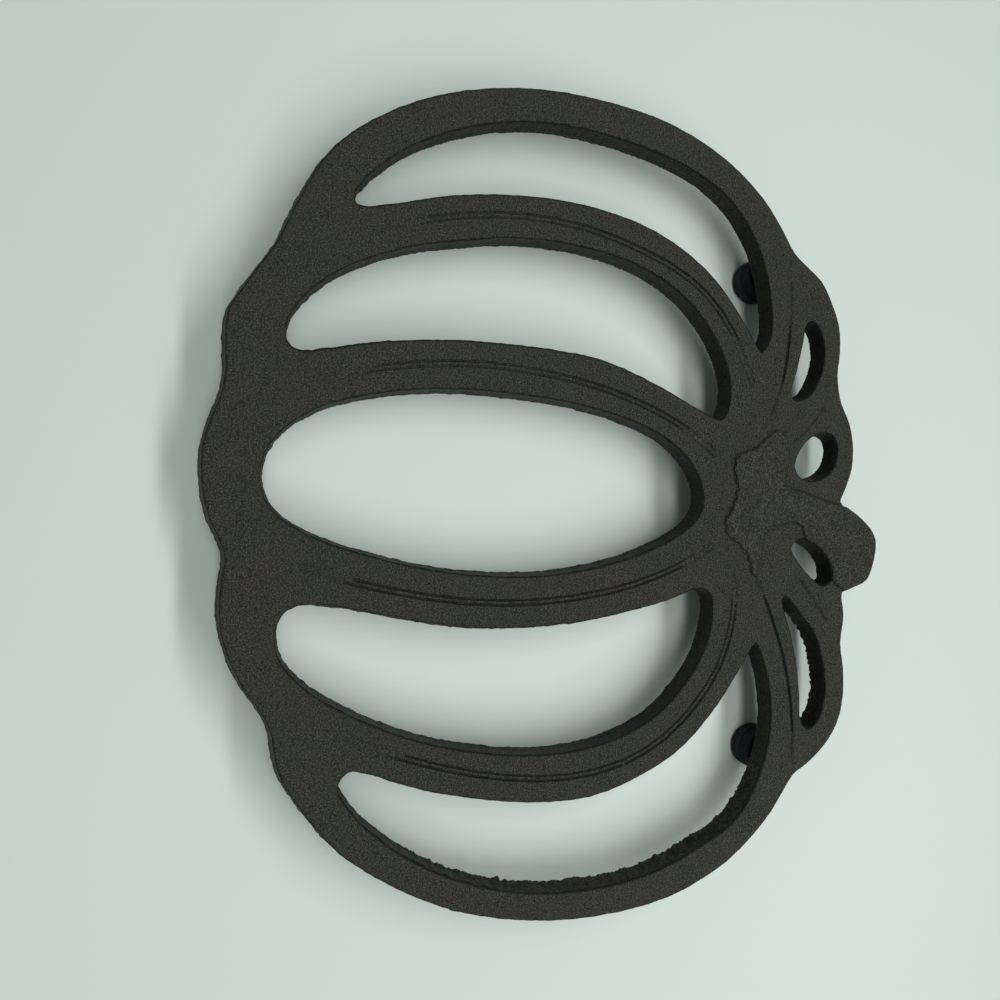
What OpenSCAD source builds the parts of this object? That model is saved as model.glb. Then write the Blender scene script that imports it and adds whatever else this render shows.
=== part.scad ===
// Pumpkin-shaped cast-iron trivet with four push-on rubber feet.
// The pumpkin lies flat: X runs across it, Y runs from its base to its stem, Z is up.
// The origin is on the table, under the middle of the pumpkin.

/* [Pumpkin] */
// Width of the top face across the two outer lobes
pumpkin_w = 171; // [140:1:260]
// Height of the pumpkin, from base to stem tip
pumpkin_h = 149.5; // [125:0.5:230]

/* [Casting] */
// Thickness of the cast plate
plate_t = 5; // [3.5:0.1:8]
// Radius of the top edges
edge_r = 0.4; // [0.3:0.1:0.8]
// How far the walls flare out below the top edge, so that the casting leaves its sand mould
draft_out = 0.6; // [0.2:0.1:1]

/* [Relief] */
// Distance between the two thin grooves that mark where two lobes meet
seam_pitch = 1.1; // [0.9:0.1:2]
// Width of each thin groove
groove_w = 0.6; // [0.4:0.1:0.8]
// Depth of the grooves and creases
seam_depth = 0.5; // [0.3:0.1:0.8]
// Width of the single crease between a front lobe and a back lobe
crease_w = 1.3; // [0.8:0.1:1.6]
// Height of the calyx and stem above the lobes
calyx_rise = 0.8; // [0.4:0.1:1.4]

/* [Feet] */
// Diameter of a cast peg
peg_d = 7; // [5:0.1:8]
// Height of the bare peg between the plate and the rubber foot
peg_neck_h = 2; // [1:0.5:8]
// Diameter of a rubber foot
foot_d = 10; // [9.5:0.1:11]
// Height of a rubber foot
foot_h = 8; // [6:0.1:9]
// Thickness of the rubber under the peg
foot_sole = 1.8; // [1:0.1:3]
// Radius of the rubber foot's lower edge
foot_edge_r = 1.2; // [0.4:0.1:1.5]
// Gap between a peg and the rubber round it
foot_gap = 0.1; // [0.05:0.05:0.2]

/* [Hidden] */

// Facets of a round peg or foot
$fn = 64;
// How far a cut runs past the face that it opens
overrun = 1;
// Curve points made for each point of an outline or line
outline_steps = 3;
line_steps = 2;
// Depth to which the calyx is sunk into the plate that carries it, and a peg into the plate
calyx_root = 1;
peg_root = 1;
// Width of the cone where a peg grows out of the plate, beyond the peg itself
peg_flare = 0.8;
// Radius of the rubber foot's upper rim
foot_rim_r = 0.5;
// Sides of the pointed tool that cuts a single crease
crease_sides = 8;
// Height above the top face at which a line's cutter starts, and the curve points over which it fades
cut_rise = 0.2;
fade_steps = 3;
// Drop of the metal between the two grooves of a double line, as a share of their depth
bead_drop_share = 0.2;

// Heights and spreads of the wall, as shares of the plate, the edge radius and the draft
wall_shares = [
    // height below the edge's rounding, spread of the draft
    [0, 1],
    [0.36, 0.35]
];
// The rounded edge in three steps, from the wall up to the top face
edge_angles = [0, 45, 90];

// Underside and top face of the plate, above the table
plate_z = foot_h + peg_neck_h;
top_z = plate_z + plate_t;

// Outlines are read along the top face's edge, as shares of the pumpkin's width and height.
// The width is measured from the middle and the height from the base, and all run the same way round.

// The pumpkin's outer outline, from the bottom of the middle lobe
rim_shares = [
    [-0.045, 0.007], [-0.015, 0.009], [0.014, 0.017], [0.036, 0.029], [0.056, 0.035],
    [0.080, 0.032], [0.110, 0.028], [0.142, 0.031], [0.172, 0.042], [0.199, 0.057],
    [0.222, 0.075], [0.246, 0.090], [0.275, 0.096], [0.304, 0.105], [0.340, 0.130],
    [0.390, 0.176], [0.434, 0.244], [0.472, 0.331], [0.494, 0.430], [0.500, 0.530],
    [0.488, 0.645], [0.452, 0.739], [0.405, 0.802], [0.374, 0.829], [0.349, 0.850],
    [0.336, 0.874], [0.314, 0.904], [0.286, 0.926], [0.252, 0.936], [0.216, 0.936],
    [0.182, 0.931], [0.146, 0.937], [0.114, 0.934], [0.107, 0.950], [0.098, 0.974],
    [0.082, 0.984], [0.060, 0.990], [0.045, 0.990], [0.031, 0.981], [0.014, 0.959],
    [-0.004, 0.932], [-0.022, 0.940], [-0.050, 0.952], [-0.080, 0.954], [-0.108, 0.948],
    [-0.138, 0.932], [-0.172, 0.927], [-0.205, 0.931], [-0.237, 0.929], [-0.268, 0.916],
    [-0.293, 0.900], [-0.310, 0.877], [-0.329, 0.852], [-0.357, 0.832], [-0.397, 0.798],
    [-0.440, 0.739], [-0.476, 0.655], [-0.494, 0.560], [-0.500, 0.455], [-0.487, 0.345],
    [-0.455, 0.248], [-0.408, 0.173], [-0.350, 0.130], [-0.319, 0.113], [-0.294, 0.099],
    [-0.267, 0.077], [-0.240, 0.056], [-0.217, 0.040], [-0.184, 0.036], [-0.150, 0.037],
    [-0.124, 0.031], [-0.098, 0.019], [-0.073, 0.010]
];

// Gaps between the ribs, from left to right, each from its upper tip
gap_outer_left_shares = [
    [-0.196, 0.798], [-0.223, 0.817], [-0.264, 0.816], [-0.315, 0.804], [-0.361, 0.778],
    [-0.401, 0.736], [-0.432, 0.670], [-0.453, 0.583], [-0.464, 0.488], [-0.458, 0.393],
    [-0.432, 0.300], [-0.401, 0.240], [-0.370, 0.203], [-0.355, 0.193], [-0.342, 0.201],
    [-0.347, 0.248], [-0.362, 0.325], [-0.370, 0.425], [-0.364, 0.530], [-0.341, 0.626],
    [-0.300, 0.703], [-0.258, 0.748], [-0.217, 0.780], [-0.201, 0.791]
];
gap_left_shares = [
    [-0.108, 0.731], [-0.122, 0.744], [-0.150, 0.749], [-0.190, 0.738], [-0.236, 0.706],
    [-0.275, 0.658], [-0.303, 0.593], [-0.319, 0.510], [-0.323, 0.425], [-0.315, 0.343],
    [-0.300, 0.259], [-0.270, 0.176], [-0.235, 0.127], [-0.200, 0.105], [-0.180, 0.112],
    [-0.173, 0.128], [-0.175, 0.149], [-0.187, 0.228], [-0.193, 0.330], [-0.190, 0.430],
    [-0.178, 0.542], [-0.146, 0.636], [-0.118, 0.700]
];
gap_middle_shares = [
    [-0.010, 0.705], [-0.046, 0.692], [-0.080, 0.655], [-0.106, 0.596], [-0.125, 0.515],
    [-0.136, 0.420], [-0.140, 0.320], [-0.131, 0.220], [-0.110, 0.140], [-0.075, 0.090],
    [-0.034, 0.074], [0.004, 0.089], [0.035, 0.140], [0.060, 0.223], [0.079, 0.320],
    [0.086, 0.422], [0.080, 0.515], [0.062, 0.600], [0.037, 0.665], [0.014, 0.696]
];
gap_right_shares = [
    [0.136, 0.719], [0.111, 0.715], [0.102, 0.695], [0.116, 0.645], [0.131, 0.568],
    [0.141, 0.485], [0.143, 0.405], [0.137, 0.318], [0.123, 0.238], [0.111, 0.172],
    [0.108, 0.127], [0.118, 0.103], [0.140, 0.092], [0.176, 0.101], [0.213, 0.141],
    [0.247, 0.207], [0.275, 0.283], [0.293, 0.368], [0.301, 0.452], [0.295, 0.535],
    [0.270, 0.614], [0.229, 0.670], [0.181, 0.706]
];
gap_outer_right_shares = [
    [0.175, 0.788], [0.205, 0.762], [0.252, 0.723], [0.300, 0.669], [0.333, 0.601],
    [0.353, 0.525], [0.353, 0.435], [0.340, 0.345], [0.320, 0.262], [0.303, 0.212],
    [0.300, 0.188], [0.317, 0.172], [0.346, 0.187], [0.395, 0.244], [0.437, 0.325],
    [0.463, 0.420], [0.470, 0.515], [0.460, 0.613], [0.435, 0.690], [0.401, 0.757],
    [0.345, 0.797], [0.286, 0.815], [0.232, 0.812], [0.193, 0.800]
];
// Small gaps in the back lobes, from left to right
gap_back_left_shares = [
    [-0.136, 0.852], [-0.141, 0.877], [-0.164, 0.897], [-0.195, 0.908], [-0.227, 0.903],
    [-0.244, 0.887], [-0.240, 0.873], [-0.214, 0.867], [-0.177, 0.856], [-0.148, 0.846]
];
gap_back_middle_left_shares = [
    [-0.073, 0.931], [-0.094, 0.922], [-0.098, 0.899], [-0.083, 0.870], [-0.053, 0.852],
    [-0.035, 0.862], [-0.031, 0.892], [-0.047, 0.921]
];
gap_back_middle_right_shares = [
    [0.100, 0.917], [0.084, 0.919], [0.064, 0.908], [0.047, 0.886], [0.041, 0.860],
    [0.056, 0.846], [0.077, 0.860], [0.099, 0.885], [0.107, 0.902]
];
gap_back_right_shares = [
    [0.115, 0.838], [0.123, 0.830], [0.158, 0.842], [0.203, 0.854], [0.250, 0.860],
    [0.284, 0.863], [0.294, 0.877], [0.281, 0.896], [0.248, 0.908], [0.204, 0.904],
    [0.166, 0.889], [0.138, 0.863]
];
gap_shares = [
    gap_outer_left_shares, gap_left_shares, gap_middle_shares, gap_right_shares,
    gap_outer_right_shares, gap_back_left_shares, gap_back_middle_left_shares,
    gap_back_middle_right_shares, gap_back_right_shares
];

// Calyx leaves and stem, as one raised form, from beyond the stem's tip round by the left leaf.
// Beside the stem the outline runs outside the rim and through the gap, which cut the form there.
calyx_shares = [
    [0.068, 1.006], [0.040, 1.002], [0.016, 0.984], [0.008, 0.960], [0.003, 0.936],
    [-0.003, 0.905], [-0.016, 0.864], [-0.025, 0.833], [-0.058, 0.838], [-0.093, 0.833],
    [-0.094, 0.819], [-0.089, 0.809], [-0.077, 0.797], [-0.069, 0.778], [-0.060, 0.755],
    [-0.043, 0.754], [-0.022, 0.759], [0.000, 0.752], [0.021, 0.738], [0.039, 0.747],
    [0.053, 0.768], [0.074, 0.779], [0.088, 0.785], [0.062, 0.792], [0.036, 0.796],
    [0.027, 0.815], [0.019, 0.845], [0.025, 0.867], [0.048, 0.874], [0.070, 0.890],
    [0.088, 0.904], [0.095, 0.915], [0.105, 0.930], [0.113, 0.944], [0.123, 0.964],
    [0.115, 0.990], [0.095, 1.002]
];

// Double lines down the ribs, where two front lobes meet, from the stem end
seam_shares = [
    [[-0.145, 0.787], [-0.199, 0.763], [-0.247, 0.729], [-0.286, 0.680], [-0.316, 0.608],
     [-0.339, 0.520], [-0.347, 0.430], [-0.342, 0.345], [-0.327, 0.263], [-0.311, 0.205]],
    [[-0.057, 0.733], [-0.087, 0.691], [-0.115, 0.635], [-0.142, 0.555], [-0.159, 0.468],
     [-0.168, 0.370], [-0.165, 0.280], [-0.153, 0.190], [-0.138, 0.130]],
    [[0.046, 0.724], [0.063, 0.690], [0.086, 0.630], [0.105, 0.550], [0.115, 0.440],
     [0.111, 0.340], [0.096, 0.240], [0.078, 0.165], [0.064, 0.118]],
    [[0.082, 0.744], [0.108, 0.752], [0.155, 0.746], [0.205, 0.725], [0.248, 0.690],
     [0.287, 0.641], [0.316, 0.575], [0.328, 0.490], [0.322, 0.400], [0.304, 0.310],
     [0.280, 0.231], [0.260, 0.180]]
];
// Single creases, where a front lobe hides a back lobe or two back lobes meet
crease_shares = [
    [[-0.290, 0.848], [-0.245, 0.847], [-0.195, 0.841], [-0.150, 0.829], [-0.118, 0.813]],
    [[0.091, 0.787], [0.110, 0.798], [0.145, 0.814], [0.195, 0.833], [0.250, 0.845], [0.306, 0.849],
     [0.330, 0.848]],
    [[-0.127, 0.902], [-0.103, 0.879], [-0.086, 0.856]],
    [[0.151, 0.908], [0.125, 0.887], [0.098, 0.864]]
];

// Middles of the feet: stem end left and right, base end left and right
foot_shares = [[-0.306, 0.837], [0.328, 0.834], [-0.315, 0.150], [0.272, 0.145]];

// A place on the pumpkin, from its shares
function place(share) = [share[0] * pumpkin_w, (share[1] - 0.5) * pumpkin_h];
function places(shares) = [for (share = shares) place(share)];

// A smooth curve between two points, led by the one before and the one after (centripetal Catmull-Rom)
function knot(a, b) = sqrt(norm(b - a));
function blend(a, b, ta, tb, t) = (tb - t) / (tb - ta) * a + (t - ta) / (tb - ta) * b;
function curve_point(p0, p1, p2, p3, u) =
    let (
        t1 = knot(p0, p1),
        t2 = t1 + knot(p1, p2),
        t3 = t2 + knot(p2, p3),
        t = t1 + u * (t2 - t1),
        a1 = blend(p0, p1, 0, t1, t),
        a2 = blend(p1, p2, t1, t2, t),
        a3 = blend(p2, p3, t2, t3, t),
        b1 = blend(a1, a2, 0, t2, t),
        b2 = blend(a2, a3, t1, t3, t)
    )
    blend(b1, b2, t1, t2, t);

// A closed curve through all the points
function closed_curve(p, steps) =
    let (n = len(p))
    [for (i = [0 : n - 1], k = [0 : steps - 1])
        curve_point(p[(i + n - 1) % n], p[i], p[(i + 1) % n], p[(i + 2) % n], k / steps)];

// An open curve through all the points, whose ends run on straight
function open_curve(p, steps) =
    let (n = len(p), q = concat([2 * p[0] - p[1]], p, [2 * p[n - 1] - p[n - 2]]))
    [for (i = [1 : n - 1], k = [0 : steps - 1]) curve_point(q[i - 1], q[i], q[i + 1], q[i + 2], k / steps),
     p[n - 1]];

// Directions along and square to a closed ring or an open line at one of its points
function unit(v) = v / norm(v);
function ring_way(ring, i) = let (n = len(ring)) unit(ring[(i + 1) % n] - ring[(i + n - 1) % n]);
function line_way(line, i) = unit(line[min(i + 1, len(line) - 1)] - line[max(i - 1, 0)]);
function right_of(way) = [way[1], -way[0]];

// The ring moved out by a distance, at a height
function spread(ring, out, z) =
    [for (i = [0 : len(ring) - 1]) let (p = ring[i] + out * right_of(ring_way(ring, i))) [p[0], p[1], z]];

// Faces of a stack of rings of n points each: its sides, then its first and last ends
function stack_faces(n, levels) = concat(
    [for (k = [0 : levels - 2], i = [0 : n - 1])
        let (a = k * n + i, b = k * n + (i + 1) % n)
        each [[a, a + n, b + n], [a, b + n, b]]],
    [[for (i = [0 : n - 1]) i]],
    [[for (i = [n - 1 : -1 : 0]) (levels - 1) * n + i]]
);

// A stack of copies of one ring, each at a height above the base and spread by a distance
module stack(ring, levels, base_z) {
    points = [for (w = levels) each spread(ring, w[1], base_z + w[0])];
    polyhedron(points, stack_faces(len(ring), len(levels)));
}

// Heights above the plate's underside and spreads beyond the top face's edge, from bottom to top.
// The rise is how far the top face stands above the lobes.
function edge_levels(top) = [for (a = edge_angles) [top - edge_r * (1 - sin(a)), edge_r * cos(a)]];
function wall_levels(rise) = concat(
    [for (w = wall_shares) [w[0] * (plate_t - edge_r), edge_r + w[1] * draft_out]],
    rise > 0 ? [[plate_t - edge_r, edge_r]] : [],
    edge_levels(plate_t + rise)
);

// The space of one gap, narrower at the underside and run past both faces
module gap_space(shares, rise) {
    inward = [for (w = wall_levels(rise)) [w[0], -w[1]]];
    stack(closed_curve(places(shares), outline_steps), concat(
        [[-overrun, inward[0][1]]],
        inward,
        [[plate_t + rise + overrun, 0]]
    ), plate_z);
}

// The pierced plate, with flared walls and a rounded edge round its outline and round each gap
module plate_form(rise) {
    difference() {
        stack(closed_curve(places(rim_shares), outline_steps), wall_levels(rise), plate_z);
        for (shares = gap_shares) gap_space(shares, rise);
    }
}

// Calyx leaves and stem: a thicker plate's metal, kept only within their outline
module calyx() {
    intersection() {
        plate_form(calyx_rise);
        stack(closed_curve(places(calyx_shares), line_steps), concat(
            [[plate_t - calyx_root, edge_r]],
            edge_levels(plate_t + calyx_rise)
        ), plate_z);
    }
}

// Depth of a line at one of its points, as a share of its full depth: a line fades out at both ends
function fade(n, i) = min(1, min(i, n - 1 - i) / fade_steps);

// The cutter for a double line: its section lies square to the line and rises out of the metal at the ends
module seam(shares) {
    line = open_curve(places(shares), line_steps);
    n = len(line);
    m = len(seam_section);
    points = [for (i = [0 : n - 1])
        let (side = right_of(line_way(line, i)), f = fade(n, i))
        each [for (s = seam_section)
            let (p = line[i] + s[0] * side, z = s[1] < 0 ? s[1] * f + cut_rise / 2 * (1 - f) : s[1])
            [p[0], p[1], top_z + z]]];
    polyhedron(points, stack_faces(m, n));
}

// The double line's section: two grooves with a thin bead between them, from the bead's right edge
seam_section = [
    [(seam_pitch - groove_w) / 2, -seam_depth * bead_drop_share],
    [-(seam_pitch - groove_w) / 2, -seam_depth * bead_drop_share],
    [-seam_pitch / 2, -seam_depth],
    [-(seam_pitch + groove_w) / 2, cut_rise],
    [(seam_pitch + groove_w) / 2, cut_rise],
    [seam_pitch / 2, -seam_depth]
];

// The cutter for a single crease: a pointed tool drawn from point to point, shallow at the ends
module crease(shares) {
    line = open_curve(places(shares), line_steps);
    n = len(line);
    for (i = [0 : n - 2]) hull() for (k = [i, i + 1]) {
        depth = seam_depth * fade(n, k);
        translate([line[k][0], line[k][1], top_z - depth])
            cylinder(d1 = 0, d2 = crease_w, h = seam_depth + cut_rise, $fn = crease_sides);
    }
}

// A peg with a cone at its root, cast in one with the plate
module peg() {
    peg_h = plate_z - foot_sole;
    translate([0, 0, foot_sole]) cylinder(d = peg_d, h = peg_h + peg_root);
    translate([0, 0, foot_h]) cylinder(d1 = peg_d, d2 = peg_d + 2 * peg_flare, h = peg_neck_h);
}

module trivet_casting() {
    color([0.23, 0.22, 0.20]) union() {
        difference() {
            union() {
                plate_form(0);
                calyx();
            }
            for (shares = seam_shares) seam(shares);
            for (shares = crease_shares) crease(shares);
        }
        for (shares = foot_shares) translate(place(shares)) peg();
    }
}

// A rubber cup with a rounded sole and rim, pushed on over a peg
module foot(index) {
    bore_r = peg_d / 2 + foot_gap;
    outer_r = foot_d / 2;
    color([0.08, 0.09, 0.13])
        translate(place(foot_shares[index])) rotate_extrude() difference() {
            union() {
                square([outer_r - foot_edge_r, foot_h]);
                translate([0, foot_edge_r]) square([outer_r, foot_h - foot_edge_r - foot_rim_r]);
                translate([outer_r - foot_edge_r, foot_edge_r]) circle(foot_edge_r);
                translate([outer_r - foot_rim_r, foot_h - foot_rim_r]) circle(foot_rim_r);
                square([outer_r - foot_rim_r, foot_h]);
            }
            translate([0, foot_sole]) square([bore_r, foot_h]);
        }
}

trivet_casting();
foot(0);  // foot_stem_left
foot(1);  // foot_stem_right
foot(2);  // foot_base_left
foot(3);  // foot_base_right
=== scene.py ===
# %% [markdown]
# # A cast-iron pumpkin trivet
#
# The object is a pot stand: one iron casting in the form of a pumpkin, pierced between its
# ribs, on four push-on rubber feet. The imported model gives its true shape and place. This
# script adds what a sand mould and a rubber mould leave behind: grain, ragged lower edges,
# soft corners and finishes. Everything is in metres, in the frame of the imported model.

import math

import bmesh
import bpy
import numpy as np
from mathutils import Matrix, Vector
from mathutils.bvhtree import BVHTree
from mathutils.kdtree import KDTree


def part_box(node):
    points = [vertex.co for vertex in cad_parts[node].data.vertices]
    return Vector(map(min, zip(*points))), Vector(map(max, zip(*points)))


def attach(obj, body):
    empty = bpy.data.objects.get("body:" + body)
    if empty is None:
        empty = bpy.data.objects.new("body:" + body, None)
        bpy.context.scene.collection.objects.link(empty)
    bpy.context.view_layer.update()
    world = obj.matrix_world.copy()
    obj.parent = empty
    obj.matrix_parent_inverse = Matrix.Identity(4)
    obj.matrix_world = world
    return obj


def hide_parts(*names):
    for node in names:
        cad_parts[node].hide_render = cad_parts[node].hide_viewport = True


MM = 0.001

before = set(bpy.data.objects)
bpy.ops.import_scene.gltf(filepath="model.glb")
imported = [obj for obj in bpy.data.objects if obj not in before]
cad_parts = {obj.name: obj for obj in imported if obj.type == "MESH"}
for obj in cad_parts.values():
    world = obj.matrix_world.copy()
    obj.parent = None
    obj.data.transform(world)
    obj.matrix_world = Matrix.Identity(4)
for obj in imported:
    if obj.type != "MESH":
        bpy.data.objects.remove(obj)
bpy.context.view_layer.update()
casting_low, casting_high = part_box("trivet_casting")


def in_mm(lengths, digits=2):
    """Lengths in metres as rounded millimetres, to print."""
    return [round(length / MM, digits) for length in lengths]


# %% [markdown]
# ## Colours and nodes
#
# A colour picked from a screen is in sRGB, but a shader adds light in linear values. One
# function turns the one into the other, so that every colour below can be a hex value that a
# reader can look at in any colour picker. A second function adds a node, sets its values and
# joins its inputs. It is the only helper that the materials need.

# %% Colour and node helpers


def linear(hex_colour):
    """A hex colour in sRGB as linear red, green, blue and alpha. The curve is the standard's."""
    parts = [int(hex_colour[i:i + 2], 16) / 255 for i in (1, 3, 5)]
    return [c / 12.92 if c <= 0.04045 else ((c + 0.055) / 1.055) ** 2.4 for c in parts] + [1.0]


def add(tree, kind, inputs=None, **settings):
    """A new node with its settings. An input takes a value, or another node's output to join."""
    made = tree.nodes.new(kind)
    for name, value in settings.items():
        setattr(made, name, value)
    for name, value in (inputs or {}).items():
        if isinstance(value, bpy.types.NodeSocket):
            tree.links.new(value, made.inputs[name])
        else:
            made.inputs[name].default_value = value
    return made


def new_material(name):
    """An empty material, its node tree and its output node."""
    material = bpy.data.materials.new(name)
    material.use_nodes = True
    material.node_tree.nodes.clear()
    output = add(material.node_tree, "ShaderNodeOutputMaterial")
    return material, material.node_tree, output


print("mid grey #808080 is", round(linear("#808080")[0], 3), "in linear light")

# %% [markdown]
# ## The camera
#
# The photograph was taken by hand from above the pumpkin's base, 209 mm over the table, and
# tilted 17 degrees towards the stem. So the walls at the stem end show and those at the base
# end hardly do. Image right is towards the stem and image down is towards +X. A 36 mm lens on
# a 36 mm sensor makes the focal length as long as the picture is wide.

# %% Camera
CAMERA_PLACE = Vector((-1.3, -75.25, 209.0)) * MM
CAMERA_TILT = math.radians(17)


def link(piece):
    """Puts a new object into the scene."""
    bpy.context.scene.collection.objects.link(piece)
    return piece


camera_data = bpy.data.cameras.new("camera")
camera_data.sensor_fit = "HORIZONTAL"
camera_data.sensor_width = 36
camera_data.lens = 36
camera_data.clip_start = 10 * MM
camera_data.clip_end = 100
camera = link(bpy.data.objects.new("camera", camera_data))

across = Vector((0, math.cos(CAMERA_TILT), math.sin(CAMERA_TILT)))
upwards = Vector((-1, 0, 0))
backwards = across.cross(upwards)
turned = Matrix((across, upwards, backwards)).transposed().to_4x4()
camera.matrix_world = Matrix.Translation(CAMERA_PLACE) @ turned
bpy.context.scene.camera = camera
print("camera looks along", [round(-v, 3) for v in backwards])

# %% [markdown]
# ## Noise for shapes
#
# The iron is not smooth: molten metal copies each hollow between the sand grains. To move
# vertices like that, the script needs noise that is the same at each run. Value noise is the
# simplest kind: each corner of a grid gets a number from a hash of its place, and points
# between the corners blend the eight around them. A hash mixes the bits of whole numbers so
# well that neighbours have nothing in common. Its large factors are odd, so that
# multiplying by them loses no bit.

# %% Value noise
HASH_FACTORS = (73856093, 19349663, 83492791)
SEED_FACTOR = 374761393
MIX_FACTOR = 1274126177
LOW_32_BITS = 0xFFFFFFFF
LOW_16_BITS = 0xFFFF
HALF_OF_16_BITS = 0x7FFF


def smooth(share):
    """A share from 0 to 1, eased so that it is level at both ends."""
    return share * share * (3 - 2 * share)


def ramp(values, low, high):
    """0 below low, 1 above high, and smooth between them."""
    return smooth(np.clip((values - low) / (high - low), 0, 1))


def value_noise(points, cell, seed):
    """Smooth noise from -1 to 1 at each point. The cell is the size of its bumps."""
    scaled = points / cell
    base = np.floor(scaled).astype(np.int64)
    part = smooth(scaled - base)
    total = np.zeros(len(points))
    for corner in np.ndindex(2, 2, 2):
        step = np.array(corner)
        mixed = ((base + step) * HASH_FACTORS).T
        mixed = (mixed[0] ^ mixed[1] ^ mixed[2]) + seed * SEED_FACTOR
        mixed = ((mixed ^ (mixed >> 13)) * MIX_FACTOR) & LOW_32_BITS
        mixed = (mixed ^ (mixed >> 16)) & LOW_16_BITS
        weight = np.prod(np.where(step == 1, part, 1 - part), axis=1)
        total += weight * (mixed / HALF_OF_16_BITS - 1)
    return total


def bumps(points, depth, size, seed):
    """Noise from -depth to depth, with bumps of a size in mm."""
    return depth * value_noise(points, size * MM, seed)


along_x = np.outer(np.arange(5), (0.4, 0, 0))
print("noise along a line:", [round(float(v), 2) for v in value_noise(along_x, 1, seed=1)])

# %% [markdown]
# ## The casting
#
# The real piece is poured in a sand mould, so it has no crisp corner anywhere. The packed
# solid has the right form but large flat triangles, which can't carry such detail. A voxel
# remesh lays even, tiny faces over the same surface and rounds each corner by about a voxel,
# which is 0.3 mm here. Subdividing the triangles instead would keep their uneven shapes, and
# sculpting by hand can't be repeated by a script.

# %% An even mesh over the casting
VOXEL = 0.3 * MM


def settle(piece):
    """Bakes the piece's modifiers into its mesh."""
    graph = bpy.context.evaluated_depsgraph_get()
    mesh = bpy.data.meshes.new_from_object(piece.evaluated_get(graph))
    piece.modifiers.clear()
    old = piece.data
    piece.data = mesh
    bpy.data.meshes.remove(old)


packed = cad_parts["trivet_casting"]
casting = link(bpy.data.objects.new("pumpkin_casting", packed.data.copy()))
casting.data.materials.clear()
remesh = casting.modifiers.new("even_faces", "REMESH")
remesh.mode = "VOXEL"
remesh.voxel_size = VOXEL
remesh.use_smooth_shade = True
settle(casting)
print("casting:", len(casting.data.vertices), "vertices")

# %% [markdown]
# ## Where the lines are
#
# Each rib carries a double line, two grooves 0.6 mm wide and 0.5 mm deep, and single creases
# run where a lobe hides the next. Painted shade darkens all of them. Their places needn't be
# written down a second time: they are the edges where the imported surface folds inwards. The
# edges become a cloud of points, and a search tree then tells how far any place is from a line.

# %% Places where the top folds inwards
TOP_Z = 15.0 * MM
LOWEST_FOLD_Z = TOP_Z - 0.8 * MM
# Lower folds are the floors of deep lines, higher ones shallow creases and the calyx's foot
DEEP_Z = TOP_Z - 0.4 * MM
# Degrees at which a fold starts to count, and at which it is as sharp as it can be
FOLD_LEAST = 8
FOLD_FULL = 50
FOLD_STEP = 0.1 * MM
FOLD_WELD = 0.0001 * MM


def find_folds(mesh, above):
    """Points along the edges where a mesh folds inwards, above a height, as a search tree and a
    list that says for each point how sharp the fold is, from 0 to 1."""
    shape = bmesh.new()
    shape.from_mesh(mesh)
    bmesh.ops.remove_doubles(shape, verts=shape.verts, dist=FOLD_WELD)
    points = []
    sharpness = []
    for edge in shape.edges:
        start, end = [corner.co for corner in edge.verts]
        if len(edge.link_faces) != 2 or min(start.z, end.z) < above:
            continue
        fold = -math.degrees(edge.calc_face_angle_signed())
        if fold > FOLD_LEAST:
            count = max(1, round((end - start).length / FOLD_STEP))
            points += [start.lerp(end, i / count) for i in range(count + 1)]
            sharpness += [float(ramp(fold, FOLD_LEAST, FOLD_FULL))] * (count + 1)
    shape.free()
    tree = KDTree(len(points))
    for index, point in enumerate(points):
        tree.insert(point, index)
    tree.balance()
    return tree, sharpness


folds, fold_sharpness = find_folds(packed.data, LOWEST_FOLD_Z)
print("folds:", len(fold_sharpness), "points")

# %% [markdown]
# ## Finer faces along the lines
#
# Two voxels can't draw a groove that is 0.6 mm wide. A smaller voxel would multiply the faces
# of the whole casting, so only the faces near a line are cut in four. Their new corners still
# lie on the coarse surface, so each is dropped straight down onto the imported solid: a ray
# shot from above it finds the height.

# %% Cut the faces near the lines and drop their corners
FINE_REACH = 0.9 * MM
NEAR_TOP_Z = TOP_Z - 0.9 * MM
# The least upward part of the normal of a face that is cut, and of a corner that is dropped
FACE_UP = 0.2
CORNER_UP = 0.3
DOWN = Vector((0, 0, -1))
RAY_START = 3 * MM
RAY_LENGTH = 5 * MM
DROP_MOST = 0.6 * MM

packed_surface = BVHTree.FromObject(packed, bpy.context.evaluated_depsgraph_get())
shape = bmesh.new()
shape.from_mesh(casting.data)
near = set()
for face in shape.faces:
    middle = face.calc_center_median()
    if middle.z > NEAR_TOP_Z and face.normal.z > FACE_UP and folds.find(middle)[2] < FINE_REACH:
        near.update(face.edges)
in_order = sorted(near, key=lambda edge: edge.index)
bmesh.ops.subdivide_edges(shape, edges=in_order, cuts=1, use_grid_fill=True)
dropped = 0
for corner in shape.verts:
    if corner.co.z < NEAR_TOP_Z or corner.normal.z < CORNER_UP:
        continue
    fold, _, distance = folds.find(corner.co)
    if distance > FINE_REACH or fold.z > DEEP_Z:
        continue
    hit = packed_surface.ray_cast(corner.co - RAY_START * DOWN, DOWN, RAY_LENGTH)[0]
    if hit and abs(hit.z - corner.co.z) < DROP_MOST:
        corner.co.z = hit.z
        dropped += 1
shape.to_mesh(casting.data)
shape.free()
print("finer:", len(casting.data.vertices), "vertices,", dropped, "of them dropped")

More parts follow.
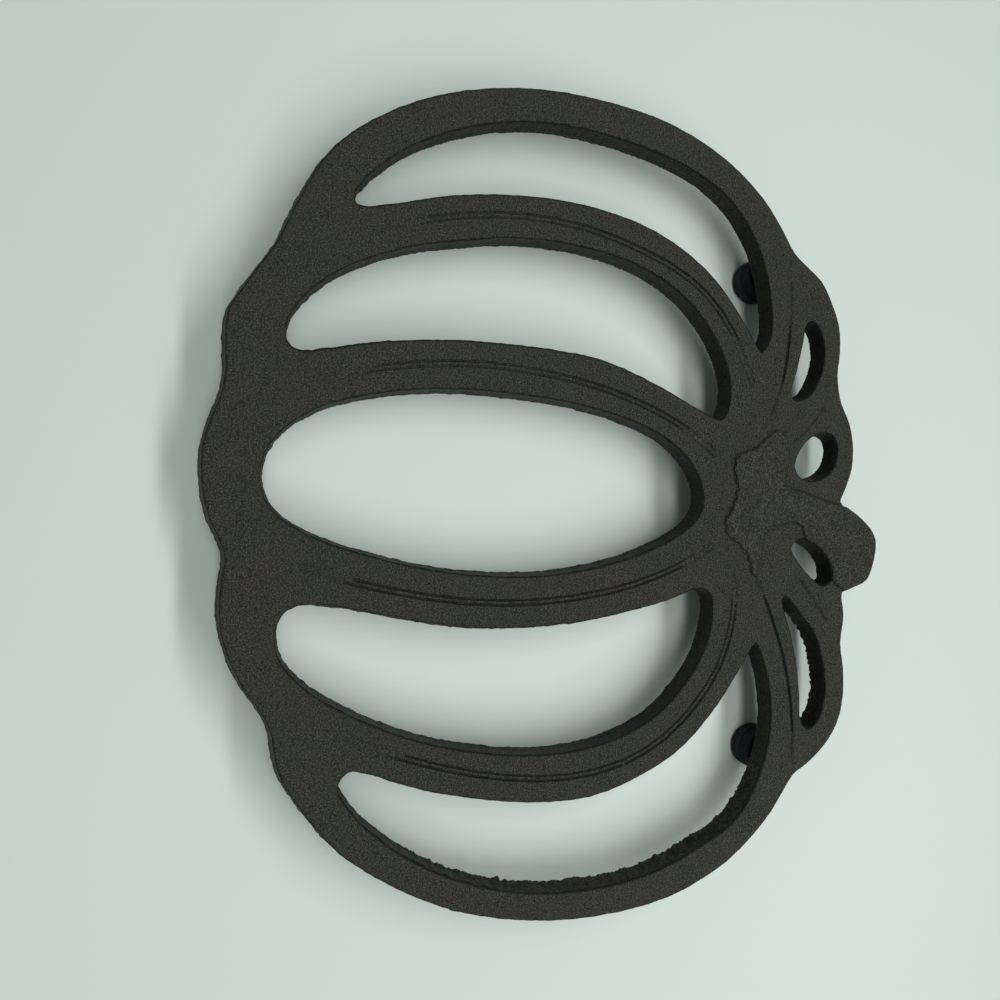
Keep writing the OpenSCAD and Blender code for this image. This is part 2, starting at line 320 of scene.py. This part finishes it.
# %% [markdown]
# ## What the sand mould leaves
#
# The top face is flat and only grainy. The walls are where the pattern was drawn out of the
# sand, which drags grains along and leaves a rough, pitted band. At the bottom of the walls
# the two halves of the mould met, and metal ran into the joint: that thin, ragged fin is
# flash. It was mostly ground off. A trace is left all round, and more of it inside the right
# outer lobe and in the small gap at its stem end.
#
# Sculpting this by hand would take days. Instead each vertex gets weights, such as how much
# of a wall it is and how ragged it is there, and noise moves it by as much as they say. All
# vertices are handled at once as rows of a numpy array, which takes seconds.

# %% Where each vertex is and which way it faces
SHORTEST_OUTWARD = 0.05


def read_vectors(items, name, count):
    """One attribute of all of a mesh's items as rows of numbers."""
    values = np.empty(count * 3, np.float32)
    items.foreach_get(name, values)
    return values.reshape(-1, 3).astype(float)


mesh = casting.data
place = read_vectors(mesh.vertices, "co", len(mesh.vertices))
normal = read_vectors(mesh.vertex_normals, "vector", len(mesh.vertices))
outward = normal.copy()
outward[:, 2] = 0
outward /= np.maximum(np.linalg.norm(outward, axis=1), SHORTEST_OUTWARD)[:, None]
level = np.abs(normal[:, 2])
print("vertices on the walls:", int((level < 0.5).sum()), "of", len(place))

# %% Weights for the walls and for the flash
UNDERSIDE_Z = 10.0 * MM
# Each pair, here and below, says where a weight is still 0 and where it has reached 1.
# Heights are shares of the plate's thickness, and the rest are parts of a normal, whose
# length is 1.
ABOVE_UNDERSIDE = (-0.06, 0.02)
ABOVE_WALL = (0.86, 0.98)
ABOVE_FLASH = (0.10, 0.42)
LEVEL_ENOUGH = (0.45, 0.85)
TILTED_ENOUGH = (0.1, 0.4)
# Where most of the flash is: the rim's wall in the right outer lobe, and the small gap
LOBE_X = (52 * MM, 58 * MM)
LOBE_FACING = (0.1, 0.6)
SMALL_GAP_X = (12 * MM, 18 * MM)
SMALL_GAP_Y = (50 * MM, 56 * MM)
SMALL_GAP_FACING = (0.2, 0.6)
RAGGED_EVERYWHERE = 0.3
RAGGED_IN_GAPS = 0.9

height = (place[:, 2] - UNDERSIDE_Z) / (TOP_Z - UNDERSIDE_Z)
in_plate = ramp(height, *ABOVE_UNDERSIDE)
wall = in_plate * (1 - ramp(level, *LEVEL_ENOUGH)) * (1 - ramp(height, *ABOVE_WALL))
foot_of_wall = in_plate * (1 - ramp(height, *ABOVE_FLASH)) * ramp(1 - level, *TILTED_ENOUGH)
in_right_lobe = (ramp(place[:, 0], *LOBE_X)
                 * ramp(-outward[:, 0] - outward[:, 1], *LOBE_FACING))
in_small_gap = (ramp(place[:, 1], *SMALL_GAP_Y) * ramp(place[:, 0], *SMALL_GAP_X)
                * ramp(-outward[:, 1], *SMALL_GAP_FACING))
ragged = RAGGED_EVERYWHERE + RAGGED_IN_GAPS * np.maximum(in_right_lobe, in_small_gap)
print("share of the vertices with flash:", round(float((ragged * foot_of_wall > 0.5).mean()), 3))

# %% Noise for the grain, the pits and the flash
# Each layer of noise, here and below: how high its bumps are and how wide, in mm, and its seed
SAND_GRAIN = (0.020, 0.8, 1)
SLOW_WAVES = (0.045, 5, 2)
DRAGGED_PITS = (0.13, 0.9, 3)
BROAD_PITS = (0.08, 2.6, 4)
LARGE_FINS = (1.2, 0.9, 5)
SMALL_FINS = (0.5, 0.5, 6)
# Grains dragged up the wall leave marks that are longer upwards than across
DRAG = (1, 1, 0.3)
MORE_PITS_IN_LOBE = 1.6

stretched = place * DRAG
grain = bumps(place, *SAND_GRAIN) + bumps(place, *SLOW_WAVES)
pits = bumps(stretched, *DRAGGED_PITS) + bumps(place, *BROAD_PITS)
pits *= 1 + MORE_PITS_IN_LOBE * in_right_lobe
fins = np.tanh(np.abs(bumps(stretched, *LARGE_FINS)) + np.abs(bumps(stretched, *SMALL_FINS)))
print("pits up to", round(float(np.abs(pits * wall).max()), 2), "mm deep")

# %% [markdown]
# ## Painted shade along the lines
#
# The iron is finished with oil, baked to a dark film, but the dark in the lines is painted
# shade: they are painted nearly black, but not evenly. A weight falls off with the distance
# from the nearest fold. Noise shifts the place that is asked for, so that the shade's edge
# wanders, and breaks the line here and there. Towards the base, on the left, the real lines
# are shallow and pale, so their painted shade is thinned and they are filled up a little there.

# %% Painted shade along the lines and the creases
LINE_REACH = 0.26 * MM
CREASE_REACH = 0.40 * MM
WANDER_X = (0.22, 0.8, 9)
WANDER_Y = (0.22, 0.8, 10)
LINE_SHADE_UP = 0.1

wander = np.stack([bumps(place, *WANDER_X), bumps(place, *WANDER_Y), np.zeros(len(place))], axis=1)
asked = place + wander * MM
# groove: each vertex's weight of a line or crease. It sets the painted shade there and where the
# nicks are
groove = np.zeros(len(place))
in_line = np.zeros(len(place))
for i in np.flatnonzero((place[:, 2] > NEAR_TOP_Z) & (normal[:, 2] > LINE_SHADE_UP)):
    fold, index, distance = folds.find(asked[i])
    reach = LINE_REACH if fold.z < DEEP_Z else CREASE_REACH
    groove[i] = fold_sharpness[index] * math.exp(-(distance / reach) ** 2)
    in_line[i] = fold.z < DEEP_Z and distance < FINE_REACH
print("vertices with film in a line:", int((groove > 0.5).sum()))

# %% Breaks in the painted shade, and shallow lines at the left of the base
LINE_SHADE_MEAN = 0.8
LINE_SHADE_LEAST = 0.25
LONG_BREAKS = (0.5, 1.6, 11)
SHORT_BREAKS = (0.4, 0.5, 12)
LEFT_X = (5 * MM, 25 * MM)
BASE_HALF_Y = (-15 * MM, 15 * MM)
BASE_END_Y = (-48 * MM, -30 * MM)
LINE_SHADE_AT_BASE_END = 0.4
LINE_SHADE_LOST_AT_LEFT = 0.65
FILLED_AT_LEFT = 0.6
NICKS = (0.15, 0.6, 7)
BROAD_NICKS = (0.08, 2.2, 8)
NICKS_DOWN = 0.05

breaks = LINE_SHADE_MEAN + bumps(place, *LONG_BREAKS) + bumps(place, *SHORT_BREAKS)
at_left_of_base = ramp(-place[:, 0], *LEFT_X) * ramp(-place[:, 1], *BASE_HALF_Y)
past_base_end = ramp(place[:, 1], *BASE_END_Y)
kept_at_base = LINE_SHADE_AT_BASE_END + (1 - LINE_SHADE_AT_BASE_END) * past_base_end
# The breaks, the base end and the left thin out the painted shade in the lines
groove *= np.clip(breaks, LINE_SHADE_LEAST, 1) * kept_at_base
groove *= 1 - LINE_SHADE_LOST_AT_LEFT * at_left_of_base
filled = FILLED_AT_LEFT * at_left_of_base * in_line * np.maximum(TOP_Z - place[:, 2], 0)
nicks = bumps(place, *NICKS) + bumps(place, *BROAD_NICKS) - NICKS_DOWN
grain += groove * nicks
print("lines filled by up to", round(float(filled.max() / MM), 2), "mm")

# %% [markdown]
# ## Moving the surface
#
# Grain moves a vertex along its normal. Pits, flash and the calyx's uneven side move it
# straight out from the wall, so that the plate keeps its height. The last step holds every
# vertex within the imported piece's box: a finish never makes an object larger.

# %% Move the vertices
FLASH_OUT = 0.55
FLASH_BACK = 0.05
CALYX_SIDE_Z = (TOP_Z, TOP_Z + 0.3 * MM)
CALYX_SIDE_UP = (0.5, 0.9)
STEM_TIP_Y = (48 * MM, 60 * MM)
CALYX_WAVES = (0.4, 0.9, 13)

flash = foot_of_wall * ragged * (FLASH_OUT * fins - FLASH_BACK)
calyx_side = ramp(place[:, 2], *CALYX_SIDE_Z) * (1 - ramp(normal[:, 2], *CALYX_SIDE_UP))
calyx_side *= 1 - ramp(place[:, 1], *STEM_TIP_Y)

moved = place + normal * (grain * MM)[:, None]
moved[:, 2] += filled
moved += outward * ((wall * pits + flash) * MM)[:, None]
moved += outward * (calyx_side * bumps(place, *CALYX_WAVES) * MM)[:, None]
moved = np.clip(moved, list(casting_low), list(casting_high))
mesh.vertices.foreach_set("co", moved.astype(np.float32).ravel())
mesh.update()
print("vertices moved by up to", round(float(np.abs(moved - place).max() / MM), 2), "mm")

# %% [markdown]
# ## Weights for the painted shade
#
# Painted shade darkens the walls that face the base and the left, which face away from the
# lamps, apart from the rim's own outside at the base. The walls that face the stem get little
# of it and stay as grey as the top. A thin line of painted shade also follows the rounded edge
# of the top face, wider on the edges that face left. In the right outer lobe, knobs of bare
# metal are left out of it. A node tree can't tell such places apart, so the script works them
# out and stores one number per vertex. Attributes like these move with the piece, and an
# Attribute node reads them.

# %% Weights that the iron's colours follow: painted shade on walls and edges
EDGE_HEIGHT = (0.82, 0.88)
EDGE_UP = (0.72, 0.86)
EDGE_TOP_Z = TOP_Z + 0.1 * MM
EDGE_FACING = (0, 0.5)
EDGE_WIDER = 0.12
LEFT_SHARE = 0.35
DARK_FACING = (0.1, 0.8)
RIM_OF_BASE_Y = (-60 * MM, -45 * MM)
STEM_HALF_Y = (-45 * MM, -15 * MM)
WALL_SHADE_EVERYWHERE = 0.1
WALL_SHADE_IN_STEM_HALF = 0.4
KNOBS_MEAN = 0.5
KNOBS = (1.3, 0.7, 14)
KNOBS_BARE = 0.75


def store(piece, name, values):
    """Keeps one number for each vertex, for the material to read."""
    kept = piece.data.attributes.new(name, "FLOAT", "POINT")
    kept.data.foreach_set("value", np.asarray(values, np.float32))


# edge_line: painted shade along the rounded edge of the top face, wider where it faces left
turned_up = normal[:, 2] - EDGE_WIDER * ramp(-outward[:, 0], *EDGE_FACING)
edge_line = ramp(height, *EDGE_HEIGHT) * (1 - ramp(turned_up, *EDGE_UP))
edge_line *= place[:, 2] < EDGE_TOP_Z
# Painted shade on the walls that face the base and the left, away from the lamps
towards_base_or_left = -outward[:, 1] - LEFT_SHARE * outward[:, 0]
dark_walls = ramp(towards_base_or_left, *DARK_FACING) * ramp(place[:, 1], *RIM_OF_BASE_Y)
wall_shade = np.maximum(WALL_SHADE_EVERYWHERE + (1 - WALL_SHADE_EVERYWHERE) * dark_walls,
                  WALL_SHADE_IN_STEM_HALF * ramp(place[:, 1], *STEM_HALF_Y))
bare_knobs = in_right_lobe * np.clip(KNOBS_MEAN + bumps(place, *KNOBS), 0, 1)
# The wall attribute holds the painted shade of the walls, and the groove attribute that of the
# lines and the top's edge
store(casting, "wall", wall * wall_shade * (1 - KNOBS_BARE * bare_knobs))
store(casting, "groove", np.maximum(groove, edge_line))
print("share of the vertices on dark walls:", round(float((wall * wall_shade > 0.5).mean()), 3))

# %% [markdown]
# ## Seasoned cast iron
#
# Grey cast iron, sand-cast, then coated with oil and baked. The film is a dark brown-black
# polymer, matt because it follows every grain. So what the eye meets is the film and not bare
# metal: no mirror-like gloss, a satin sheen at low angles, and fine speckles where the grain
# catches the light. The sand's grains are about 0.3 mm, and the noise has that size; pores
# where a few grains came away together are about 0.7 mm. The colour is built in layers: slow
# blotches of two near-blacks, pale specks on top of the grains, which are painted glints, and
# dark pits between them, which are painted shade.

# %% The iron's colour
IRON_BROWN = "#2D2B24"
IRON_GREEN_BLACK = "#272B23"
# Pale specks on the grains' tops: painted glints
IRON_GLINT_SPECK = "#54564A"
# Near-black: painted shade in the grains' hollows, in the lines and on the walls, and the colour of
# the pores
IRON_PIT = "#0E0F0B"
GRAIN_SIZE = 0.3 * MM
PORE_SIZE = 0.7 * MM
BLOTCH_SIZE = 14 * MM

# A Mix node takes its two colours in inputs 6 and 7 and gives their mix in output 2
iron, tree, output = new_material("seasoned_cast_iron")
where = add(tree, "ShaderNodeTexCoord").outputs["Object"]
blotch = add(tree, "ShaderNodeTexNoise", {
    "Vector": where, "Scale": 1 / BLOTCH_SIZE, "Detail": 4.0, "Roughness": 0.6})
blotch_share = add(tree, "ShaderNodeMapRange", {
    "Value": blotch.outputs["Fac"], "From Min": 0.38, "From Max": 0.62})
skin = add(tree, "ShaderNodeMix", {
    0: blotch_share.outputs["Result"], 6: linear(IRON_BROWN), 7: linear(IRON_GREEN_BLACK)},
    data_type="RGBA")
sand = add(tree, "ShaderNodeTexNoise", {
    "Vector": where, "Scale": 1 / GRAIN_SIZE, "Detail": 3.0, "Roughness": 0.65})
# Paler on the grains' tops, where the bump stands highest: painted glints
glint_share = add(tree, "ShaderNodeMapRange", {
    "Value": sand.outputs["Fac"], "From Min": 0.50, "From Max": 0.70})
glinted = add(tree, "ShaderNodeMix", {
    0: glint_share.outputs["Result"], 6: skin.outputs[2], 7: linear(IRON_GLINT_SPECK)},
    data_type="RGBA")
# Near-black in the grains' hollows, where the bump is lowest: painted shade
pit_share = add(tree, "ShaderNodeMapRange", {
    "Value": sand.outputs["Fac"], "From Min": 0.47, "From Max": 0.33})
pitted = add(tree, "ShaderNodeMix", {
    0: pit_share.outputs["Result"], 6: glinted.outputs[2], 7: linear(IRON_PIT)},
    data_type="RGBA")
pore = add(tree, "ShaderNodeTexNoise", {
    "Vector": where, "Scale": 1 / PORE_SIZE, "Detail": 2.0, "Roughness": 0.5})
pore_share = add(tree, "ShaderNodeMapRange", {
    "Value": pore.outputs["Fac"], "From Min": 0.58, "From Max": 0.70, "To Max": 0.6})
pored = add(tree, "ShaderNodeMix", {
    0: pore_share.outputs["Result"], 6: pitted.outputs[2], 7: linear(IRON_PIT)},
    data_type="RGBA")
print("iron's colour:", len(tree.nodes), "nodes")

# %% [markdown]
# ## Painted shade, film, sheen and grain of the iron
#
# The two weights decide where painted shade darkens the lines, the top's edge and the walls,
# and hides the specks. On the walls the pore noise lets some knobs show through. The film is an
# oil polymer and no metal, so Metallic is 0. Its sheen is low, because the light scatters
# between the grains: the roughness follows the same noise as the specks, and a bump of 0.2 mm
# makes the grains catch the light.

# %% The iron's painted shade and surface
SHADE_IN_LINES = 0.92
GRAIN_HEIGHT = 0.2 * MM

# The groove attribute darkens the lines, creases and the top's edge towards IRON_PIT: painted shade
hollow = add(tree, "ShaderNodeAttribute", attribute_name="groove")
hollow_share = add(tree, "ShaderNodeMath", {
    0: hollow.outputs["Fac"], 1: SHADE_IN_LINES}, operation="MULTIPLY")
# The wall attribute darkens the walls that face away from the lamps: painted shade
flank = add(tree, "ShaderNodeAttribute", attribute_name="wall")
knobs = add(tree, "ShaderNodeMapRange", {
    "Value": pore.outputs["Fac"],
    "From Min": 0.62, "From Max": 0.38, "To Min": 0.62, "To Max": 1.0})
flank_share = add(tree, "ShaderNodeMath", {
    0: flank.outputs["Fac"], 1: knobs.outputs["Result"]}, operation="MULTIPLY")
darker = add(tree, "ShaderNodeMath", {
    0: hollow_share.outputs[0], 1: flank_share.outputs[0]}, operation="MAXIMUM")
coloured = add(tree, "ShaderNodeMix", {
    0: darker.outputs[0], 6: pored.outputs[2], 7: linear(IRON_PIT)}, data_type="RGBA")
rough = add(tree, "ShaderNodeMapRange", {
    "Value": sand.outputs["Fac"], "From Min": 0.3, "From Max": 0.7, "To Min": 0.7, "To Max": 0.5})
sand_bump = add(tree, "ShaderNodeBump", {
    "Height": sand.outputs["Fac"], "Strength": 1.0, "Distance": GRAIN_HEIGHT})
iron_shader = add(tree, "ShaderNodeBsdfPrincipled", {
    "Base Color": coloured.outputs[2], "Roughness": rough.outputs["Result"],
    "Normal": sand_bump.outputs["Normal"], "Metallic": 0.0, "Specular IOR Level": 0.12})
tree.links.new(iron_shader.outputs["BSDF"], output.inputs["Surface"])
print("whole iron:", len(tree.nodes), "nodes")

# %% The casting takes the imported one's place
casting.data.materials.append(iron)
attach(casting, "root")
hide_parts("trivet_casting")
print(casting.name, "stands for", packed.name)

# %% [markdown]
# ## Moulded rubber
#
# Natural rubber filled with carbon black, moulded hot in polished steel. It is blue-black,
# smooth to the hand and satin rather than glossy, with a trace of pale dust in patches. Rubber
# is an insulator, so it isn't metallic, and its IOR is about 1.52.

# %% Rubber material
RUBBER_BLACK = "#060B10"
RUBBER_DUSTY = "#10181C"
DUST_SIZE = 1.6 * MM
SKIN_DEPTH = 0.05 * MM

rubber, tree, output = new_material("moulded_rubber")
where = add(tree, "ShaderNodeTexCoord").outputs["Object"]
dust = add(tree, "ShaderNodeTexNoise", {
    "Vector": where, "Scale": 1 / DUST_SIZE, "Detail": 5.0, "Roughness": 0.6})
dust_share = add(tree, "ShaderNodeMapRange", {
    "Value": dust.outputs["Fac"], "From Min": 0.5, "From Max": 0.8, "To Max": 0.5})
dusted = add(tree, "ShaderNodeMix", {
    0: dust_share.outputs["Result"], 6: linear(RUBBER_BLACK), 7: linear(RUBBER_DUSTY)},
    data_type="RGBA")
dust_rough = add(tree, "ShaderNodeMapRange", {
    "Value": dust.outputs["Fac"],
    "From Min": 0.3, "From Max": 0.7, "To Min": 0.42, "To Max": 0.62})
skin_bump = add(tree, "ShaderNodeBump", {
    "Height": dust.outputs["Fac"], "Strength": 0.25, "Distance": SKIN_DEPTH})
rubber_shader = add(tree, "ShaderNodeBsdfPrincipled", {
    "Base Color": dusted.outputs[2], "Roughness": dust_rough.outputs["Result"],
    "Normal": skin_bump.outputs["Normal"], "IOR": 1.52, "Specular IOR Level": 0.08})
tree.links.new(rubber_shader.outputs["BSDF"], output.inputs["Surface"])
print("rubber:", len(tree.nodes), "nodes")

# %% [markdown]
# ## The rubber feet
#
# Each foot is a small moulded cup, pushed over a peg under the iron. Anything round is
# quickest as on a lathe: draw half of the section once and turn it. Each point of the section
# becomes a ring, and faces join each ring to the next. Blender's spin tool would do the same,
# but it may number the faces otherwise at each run, and here every run gives one and the same
# mesh. The sole is slightly hollow, so that only a ring touches the table and grips, and a
# thin raised line round the side shows where the two halves of the mould met.

# %% Lathe
FOOT_STEPS = 96
# Radius and height in mm, from the middle of the sole out, up, and back down inside the bore
FOOT_SECTION = [
    (0.0, 0.45), (2.2, 0.40), (3.0, 0.15), (3.35, 0.0), (3.8, 0.0), (4.3, 0.12), (4.68, 0.42),
    (4.90, 0.85), (4.97, 1.4), (4.95, 3.9), (5.0, 4.0), (5.0, 4.15), (4.95, 4.25),
    (4.88, 7.35), (4.80, 7.75), (4.60, 7.94), (4.35, 8.0), (3.95, 8.0), (3.75, 7.92),
    (3.62, 7.7), (3.60, 7.3), (3.60, 1.8), (0.0, 1.8)
]


def lathe(name, section, middle, steps):
    """A piece made by turning half of its section, in mm, about an upright line at a point."""
    points = []
    rings = []
    for radius, z in section:
        count = steps if radius > 0 else 1
        rings.append([len(points) + turn % count for turn in range(steps + 1)])
        for turn in range(count):
            angle = 2 * math.pi * turn / steps
            arm = Vector((radius * math.cos(angle), radius * math.sin(angle), z))
            points.append(middle + arm * MM)
    faces = []
    for ring, following in zip(rings, rings[1:]):
        for turn in range(steps):
            corners = (ring[turn], ring[turn + 1], following[turn + 1], following[turn])
            # A ring on the axis is a single point, so there a face has three corners
            faces.append(list(dict.fromkeys(corners)))
    mesh = bpy.data.meshes.new(name)
    mesh.from_pydata(points, [], faces)
    mesh.shade_smooth()
    return link(bpy.data.objects.new(name, mesh))


print("foot's section:", len(FOOT_SECTION), "points, turned in", FOOT_STEPS, "steps")

# %% Feet
for node_name in ("foot_stem_left", "foot_stem_right", "foot_base_left", "foot_base_right"):
    low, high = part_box(node_name)
    middle = Vector(((low.x + high.x) / 2, (low.y + high.y) / 2, low.z))
    cup = lathe(node_name.replace("foot", "rubber_cup"), FOOT_SECTION, middle, FOOT_STEPS)
    cup.data.materials.append(rubber)
    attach(cup, "root")
    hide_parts(node_name)
    print(cup.name, "stands at", in_mm(middle, 1))

# %% [markdown]
# ## The table
#
# The trivet lies on a pale, cool-white table top, which is plain and matt. Far from the
# trivet the lamps' light falls off, and a bare table would end in a dark band. So the table
# fades into the pale backdrop there. It does so only for what the camera sees, directly or
# through a reflection, so the light on the trivet stays as it is.

# %% Table
TABLE_WHITE = "#D3DFD8"
BACKDROP_WHITE = "#E4ECEA"
TABLE_SIZE = 3.0
FADE_START = 0.25
FADE_END = 1.3


def seen_rays(tree):
    """1 for rays from the camera, a reflection or glass, and 0 for rays that carry light."""
    paths = add(tree, "ShaderNodeLightPath")
    seen = paths.outputs["Is Camera Ray"]
    for kind in ("Is Glossy Ray", "Is Transmission Ray"):
        either = add(tree, "ShaderNodeMath", {0: seen, 1: paths.outputs[kind]}, operation="MAXIMUM")
        seen = either.outputs[0]
    return seen


table, tree, output = new_material("matt_white_table")
table_shader = add(tree, "ShaderNodeBsdfPrincipled", {
    "Base Color": linear(TABLE_WHITE), "Roughness": 0.6, "Specular IOR Level": 0.3})
where = add(tree, "ShaderNodeTexCoord").outputs["Object"]
from_middle = add(tree, "ShaderNodeVectorMath", {0: where}, operation="LENGTH")
far = add(tree, "ShaderNodeMapRange", {
    "Value": from_middle.outputs["Value"], "From Min": FADE_START, "From Max": FADE_END},
    interpolation_type="SMOOTHSTEP")
faded = add(tree, "ShaderNodeMath", {
    0: far.outputs["Result"], 1: seen_rays(tree)}, operation="MULTIPLY")
glow = add(tree, "ShaderNodeEmission", {"Color": linear(BACKDROP_WHITE), "Strength": 1.0})
table_or_backdrop = add(tree, "ShaderNodeMixShader", {
    0: faded.outputs[0], 1: table_shader.outputs["BSDF"], 2: glow.outputs[0]})
tree.links.new(table_or_backdrop.outputs[0], output.inputs["Surface"])

half = TABLE_SIZE / 2
table_corners = [(-half, -half, 0), (half, -half, 0), (half, half, 0), (-half, half, 0)]
table_mesh = bpy.data.meshes.new("table_top")
table_mesh.from_pydata(table_corners, [], [(0, 1, 2, 3)])
table_top = link(bpy.data.objects.new("table_top", table_mesh))
table_top.data.materials.append(table)
print("table:", TABLE_SIZE, "m wide, pale beyond", FADE_END, "m")

# %% [markdown]
# ## The light
#
# Two long ceiling tubes light the table. The shadows say so: their edges are sharp across
# the tubes, which lie along X, and run out softly along them. The nearer tube is a little
# towards the stem, so the longer shadows fall towards the base. The other stands towards the
# base. The middle of both is a little towards +X, so the walls that face -X are the darker
# ones. A dim world fills the rest, and is pale only where the camera or a reflection sees it.

# %% Lamps and world
TUBE_MIDDLE_X = 80 * MM
ROOM_STRENGTH = 0.22


def tube_lamp(name, lean, distance, length, width, watts):
    """A long lamp along X that faces the trivet, leaning from overhead towards +Y by degrees."""
    data = bpy.data.lights.new(name, "AREA")
    data.shape = "RECTANGLE"
    data.size = length
    data.size_y = width
    data.energy = watts
    lamp = link(bpy.data.objects.new(name, data))
    turn = math.radians(lean)
    lamp.location = (TUBE_MIDDLE_X, distance * math.sin(turn), distance * math.cos(turn))
    lamp.rotation_euler = (-turn, 0, 0)
    print(name, "hangs at", in_mm(lamp.location, 0))


tube_lamp("stem_side_tube", lean=20, distance=0.42, length=0.62, width=0.06, watts=1.15)
tube_lamp("base_side_tube", lean=-8, distance=0.8, length=0.95, width=0.14, watts=2.4)

world = bpy.data.worlds.new("room")
bpy.context.scene.world = world
world.use_nodes = True
tree = world.node_tree
tree.nodes.clear()
pale = linear(BACKDROP_WHITE)
room = add(tree, "ShaderNodeBackground", {"Color": pale, "Strength": ROOM_STRENGTH})
backdrop = add(tree, "ShaderNodeBackground", {"Color": pale, "Strength": 1.0})
room_or_backdrop = add(tree, "ShaderNodeMixShader", {
    0: seen_rays(tree), 1: room.outputs[0], 2: backdrop.outputs[0]})
add(tree, "ShaderNodeOutputWorld", {"Surface": room_or_backdrop.outputs[0]})

bpy.context.scene.view_settings.view_transform = "Standard"
